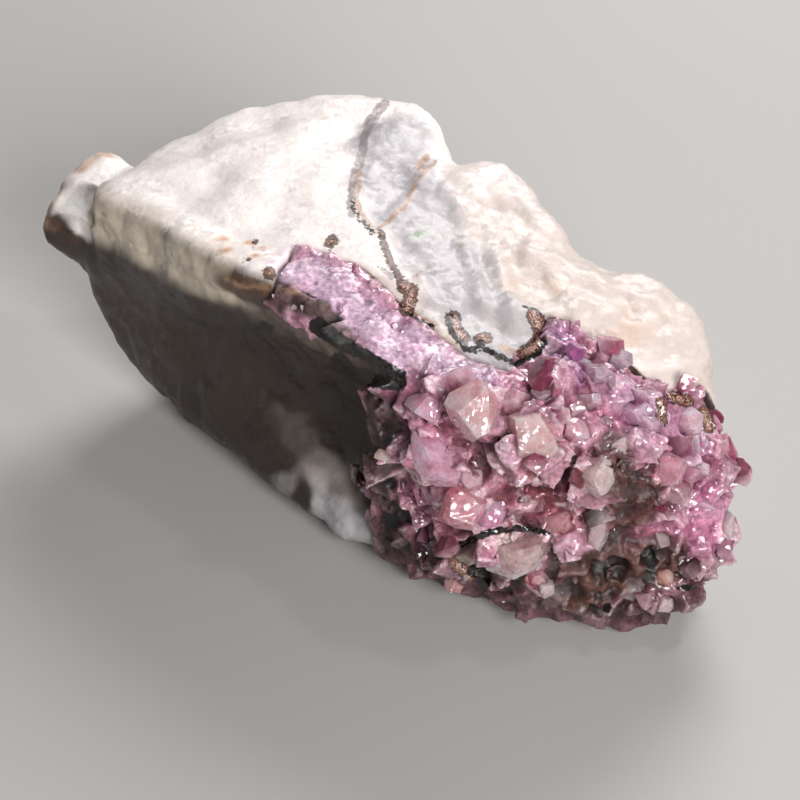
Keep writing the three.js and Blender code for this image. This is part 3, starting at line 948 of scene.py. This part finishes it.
# %% [markdown]
# The crust is remeshed together with the crystals that are sunk into it, so they become one closed body
# with sharp valleys between them. Then it is broken up finely, the hollows are pressed in, and each large
# crystal gets a dent to sit in. Recesses are painted darker and richer as shade, tips are painted paler as
# a highlight, and each grown crystal has a tone of its own.

# %% The pink crust: shape
GROWN_GAP, GROWN_SIZE = 1.35, (0.95, 1.5)


def foot_share(p):
    """0.6 at the foot of the crust, where the crystals are smaller, and 1 above 9 mm."""
    return 0.6 + 0.4 * ramp(p[:, 2], 2, 9)


CAD_CRUST = merged(*solid_arrays(["pink_crystal_crust"]))
plain = fine_skin("plain_crust", *CAD_CRUST, voxel=0.5, smoothing=2)
p, n = places(plain)
large_at = np.concatenate([seen(pixel) for pixel, *_ in LARGE])
large_size = np.array([(across + upward) / 2 for _, across, upward, *_ in LARGE])
spots = free_spots(p, n, count=6000, gap=GROWN_GAP)
spots = spots[beside_large(p[spots], 0.45)]
at, normal = p[spots], n[spots]
size = GROWN_SIZE[0] + GROWN_SIZE[1] * rng.random(len(at)) ** 1.5
size = size * (1 - 0.65 * strip_share(at)) * foot_share(at)
_, points, faces, _ = wild(at, normal, size, sunk=0.7, lean=0.35)
grown_at, tone = at - normal * size[:, None] * 0.5, rng.random(len(at))
print(len(at), "crystals grown into the crust")
first = len(CAD_CRUST[0])
shapes = np.concatenate([CAD_CRUST[0], points])
faces = CAD_CRUST[1].tolist() + [[first + corner for corner in face] for face in faces]
crust = fine_skin("pink_crust", shapes, faces, CRUST_VOXEL, smoothing=0)
bpy.data.meshes.remove(plain)

# %% The pink crust: relief
p, n = places(crust)
grains, grain_number = facets(p + 0.2 * soft_noise(p, 2, 60)[:, None], 1.0, 61)
grown_skin = skin_tree(crust)
swell = 0.06 * grains + 0.07 * creased(p, 1.1, 62) + 0.05 * creased(p, 0.6, 63)
swell += 0.4 * (1 - ramp(p[:, 2], 2, 4)) * creased(p, 2.0, 64)
for pixel, radius, depth in HOLLOWS:
    swell -= depth * (1 - ramp(distance_to_line(p, seen(pixel, on=grown_skin)), 0.2 * radius, radius))
for (pixel, *_), size in zip(LARGE, large_size):
    away = distance_to_line(p, seen(pixel, on=grown_skin))
    swell -= 0.45 * size * (1 - ramp(away, 0.3 * size, 0.9 * size))
p = p + n * (swell * ramp(p[:, 2], 0.1, 0.8))[:, None]
put_places(crust, p)

# %% The pink crust: paint
crust_places, crust_normals = places(crust)
out = standing_out(crust, crust_places, crust_normals, rounds=60)
# Painted shade: recesses, which stand in from their surroundings, are darkened and made richer; the strip
# is spared.
pink = pink_at(p) ** (1.6 - 0.6 * ramp(out, -0.45, 0.25) - 0.15 * grain_number)[:, None]
shade = 0.45 + 0.55 * np.maximum(ramp(out, -0.5, 0.1), 0.8 * strip_share(p))
pink = pink * shade[:, None]
clean = 1 - 0.85 * earthy(p)
# Painted highlight: tips that stand out are made paler, less so where the crust is dull.
pink = lay(pink, "#fbeef2", 0.4 * clean * ramp(out, 0.2, 0.8))
own_tone = tone[nearest(crust_places, grown_at)]
pink = lay(pink * (0.7 + 0.45 * own_tone)[:, None], "#f3dade", 0.5 * clean * ramp(own_tone, 0.75, 1.0))
for pixel, across, upward, _, code in LARGE:
    pink = mark(pink, p, [pixel], 0.45 * (across + upward), code, 0.85, fray=0.2)
put_tint(crust, pink)
put_share(crust, "dull", 0.13 + 0.2 * strip_share(p) + 0.42 * earthy(p))
CRUST = skin_tree(crust)
put_share(crust, "rust", nearness(p, CRUST_RUST, CRUST))
put_share(crust, "oxide", nearness(p, CRUST_OXIDE, CRUST))
show(crust, "pink_crystal_crust", pink_mass())

# %% [markdown]
# A separate crystal is painted pale at its free tip, as a highlight, and deep pink where it sinks into the
# mass, as shade, so its colour follows how far out each corner is.

# %% Colours and meshes of separate crystals


def tipped(colour, points, owner, at, normals, sizes, deep, pale):
    """A colour for each corner: the crystal's colour raised to the power deep at its root, which makes it
    darker and richer as painted shade, and blended by pale towards white at its free tip as a painted
    highlight."""
    out = ((points - at[owner]) * normals[owner]).sum(1) / sizes[owner]
    out = ramp(out, -0.6, 0.5)[:, None]
    root = np.clip(colour[owner], 0.01, 1) ** (1 + (deep - 1) * (1 - out))
    return root + (linear("#fdf1f2") - root) * (pale[owner][:, None] * out)


def crystal_piece(name, body, points, faces, tint, glass, edge=0):
    """One piece of many crystals, with their colours, each one's own coordinates in mm, and edges
    worn by a bevel edge mm wide, so that they catch the light."""
    mesh = bpy.data.meshes.new(name)
    mesh.from_pydata((points * MM).tolist(), [], faces)
    mesh.update()
    put_tint(mesh, tint)
    layer = mesh.attributes.new("own_place", "FLOAT_VECTOR", "POINT")
    layer.data.foreach_set("vector", body.astype(np.float32).ravel())
    piece = show(mesh, "pink_crystal_crust", glass, smooth=False)
    if edge > 0:
        bevel = piece.modifiers.new("worn edges", "BEVEL")
        bevel.width = edge * MM
        bevel.segments = 1


def bare_spots(count, gap):
    """Free spots on the crust, without those on brown or black stains, which show, most of those in
    the brown hollows, and those under the large crystals."""
    spots = free_spots(crust_places, crust_normals, count, gap)
    here = crust_places[spots]
    clean = rng.random(len(spots)) > 0.75 * earthy(here)
    clean &= nearness(here, CRUST_RUST + CRUST_OXIDE, CRUST) > 0.4
    return spots[clean & beside_large(here, 0.9)]


# %% [markdown]
# Between the grown crystals stand smaller ones with sharper edges. On the strip along the upper edge
# the crust is sugary, so the smallest ones crowd there, and they are hardly see-through.

# %% Middling crystals
spots = bare_spots(count=4000, gap=2.4)
spots = spots[strip_share(crust_places[spots]) < 0.5]
at, normal = crust_places[spots], crust_normals[spots]
size = (0.5 + 0.8 * rng.random(len(at))) * foot_share(at)
colour = pink_at(at) * (0.75 + 0.4 * rng.random((len(at), 1)))
colour = lay(colour, "#f2c6d2", 0.6 * ramp(rng.random(len(at)), 0.7, 1.0))
body, points, faces, owner = wild(at, normal, size, sunk=0.6, lean=0.4)
# The painted highlight at the tips grows stronger higher up.
pale = 0.5 * rng.random(len(at)) * (0.3 + 0.7 * ramp(at[:, 2], 6, 16))
tint = tipped(colour, points, owner, at, normal, size, deep=1.8, pale=pale)
glass = crystal_glass("pink_calcite_crystals", see_through=0.2, roughness=0.08, depth=0.8)
crystal_piece("middling_crystals", body, points, faces, tint, glass)

# %% Small crystals
spots = bare_spots(count=5000, gap=0.6)
sugary = strip_share(crust_places[spots]) > 0.3
spots = spots[rng.random(len(spots)) < np.where(sugary, 0.4, 0.08)]
at, normal = crust_places[spots], crust_normals[spots]
size = 0.2 + 0.25 * rng.random(len(at)) ** 2
colour = pink_at(at) * (1 + 0.12 * rng.standard_normal((len(at), 1)))
body, points, faces, owner = wild(at, normal, size, sunk=0.4, lean=0.8)
pale = 0.6 * rng.random(len(at))
tint = tipped(colour, points, owner, at, normal, size, deep=1.1, pale=pale)
glass = crystal_glass("sugary_pink_calcite", see_through=0.0, roughness=0.35, depth=0.2)
crystal_piece("small_crystals", body, points, faces, tint, glass)

# %% [markdown]
# The large clear crystals are seen one by one in the photograph, so each has its pixel, its half
# width and half height in mm, its turn in degrees and its colour. Each leans half towards the eye
# that measured it, and sits in its dent, so that the crust closes round it.

# %% Large crystals
at = np.concatenate([seen(pixel, on=CRUST) for pixel, *_ in LARGE])
normal = np.array([SOLIDS.find_nearest(Vector(point))[1] for point in at])
width, height, degrees = np.array([row[1:4] for row in LARGE]).T
turn = np.radians(degrees)[:, None]
colour = np.array([linear(row[4]) for row in LARGE])
size = large_size
halves = np.stack([width, height, size], 1) * 0.9
leans = normal + 0.6 * BACK + 0.2 * rng.standard_normal(at.shape)
hints = UP * np.cos(turn) + RIGHT * np.sin(turn)
centre = at + normal * (0.12 * size)[:, None]
body, points, faces, owner = crystals(centre, halves, leans, hints, 38 + 16 * rng.random(len(at)))
pale = np.full(len(at), 0.2)
tint = tipped(colour, points, owner, at, normal, size, deep=1.3, pale=pale)
glass = crystal_glass("clear_calcite_crystals", see_through=0.45, roughness=0.04, depth=1.6)
crystal_piece("large_crystals", body, points, faces, tint, glass, edge=0.09)

# %% [markdown]
# The stage: a pale floor, one broad soft light from above and behind as from a window, another from
# the right front that lights up the crust, a small one that makes crystal faces sparkle, and a dim
# even sky.

# %% Stage
FLOOR_SIDE = 2.0


def area_light(name, place, aim, side, power):
    """A square soft light at a place in mm, turned towards another."""
    data = bpy.data.lights.new(name, "AREA")
    data.size = side * MM
    data.energy = power
    light = placed(name, data)
    light.location = Vector(place) * MM
    light.rotation_mode = "QUATERNION"
    light.rotation_quaternion = (Vector(aim) - Vector(place)).to_track_quat("-Z", "Y")


floor_mesh = bpy.data.meshes.new("floor")
half = FLOOR_SIDE / 2
floor_corners = [(-half, -half, 0), (half, -half, 0), (half, half, 0), (-half, half, 0)]
floor_mesh.from_pydata(floor_corners, [], [(0, 1, 2, 3)])
floor = placed("floor", floor_mesh)
paper, tree, _ = new_material("pale_paper")
matt = add(tree, "BsdfPrincipled", None, {"Roughness": 0.8, "Base Color": (*linear("#b5b2af"), 1)})
add(tree, "OutputMaterial", {"Surface": matt.outputs[0]})
floor_mesh.materials.append(paper)

area_light("window", (-60, 270, 260), (0, 0, 15), side=160, power=1.15)
area_light("fill", (260, -170, 200), (20, -8, 15), side=150, power=1.25)
area_light("sparkle", (120, 60, 320), (20, -8, 15), side=25, power=0.08)
world = bpy.data.worlds.new("sky")
world.use_nodes = True
air = world.node_tree.nodes["Background"].inputs
air["Color"].default_value = (0.9, 0.93, 1.0, 1)
air["Strength"].default_value = 0.12
bpy.context.scene.world = world
bpy.context.scene.view_settings.view_transform = "Standard"
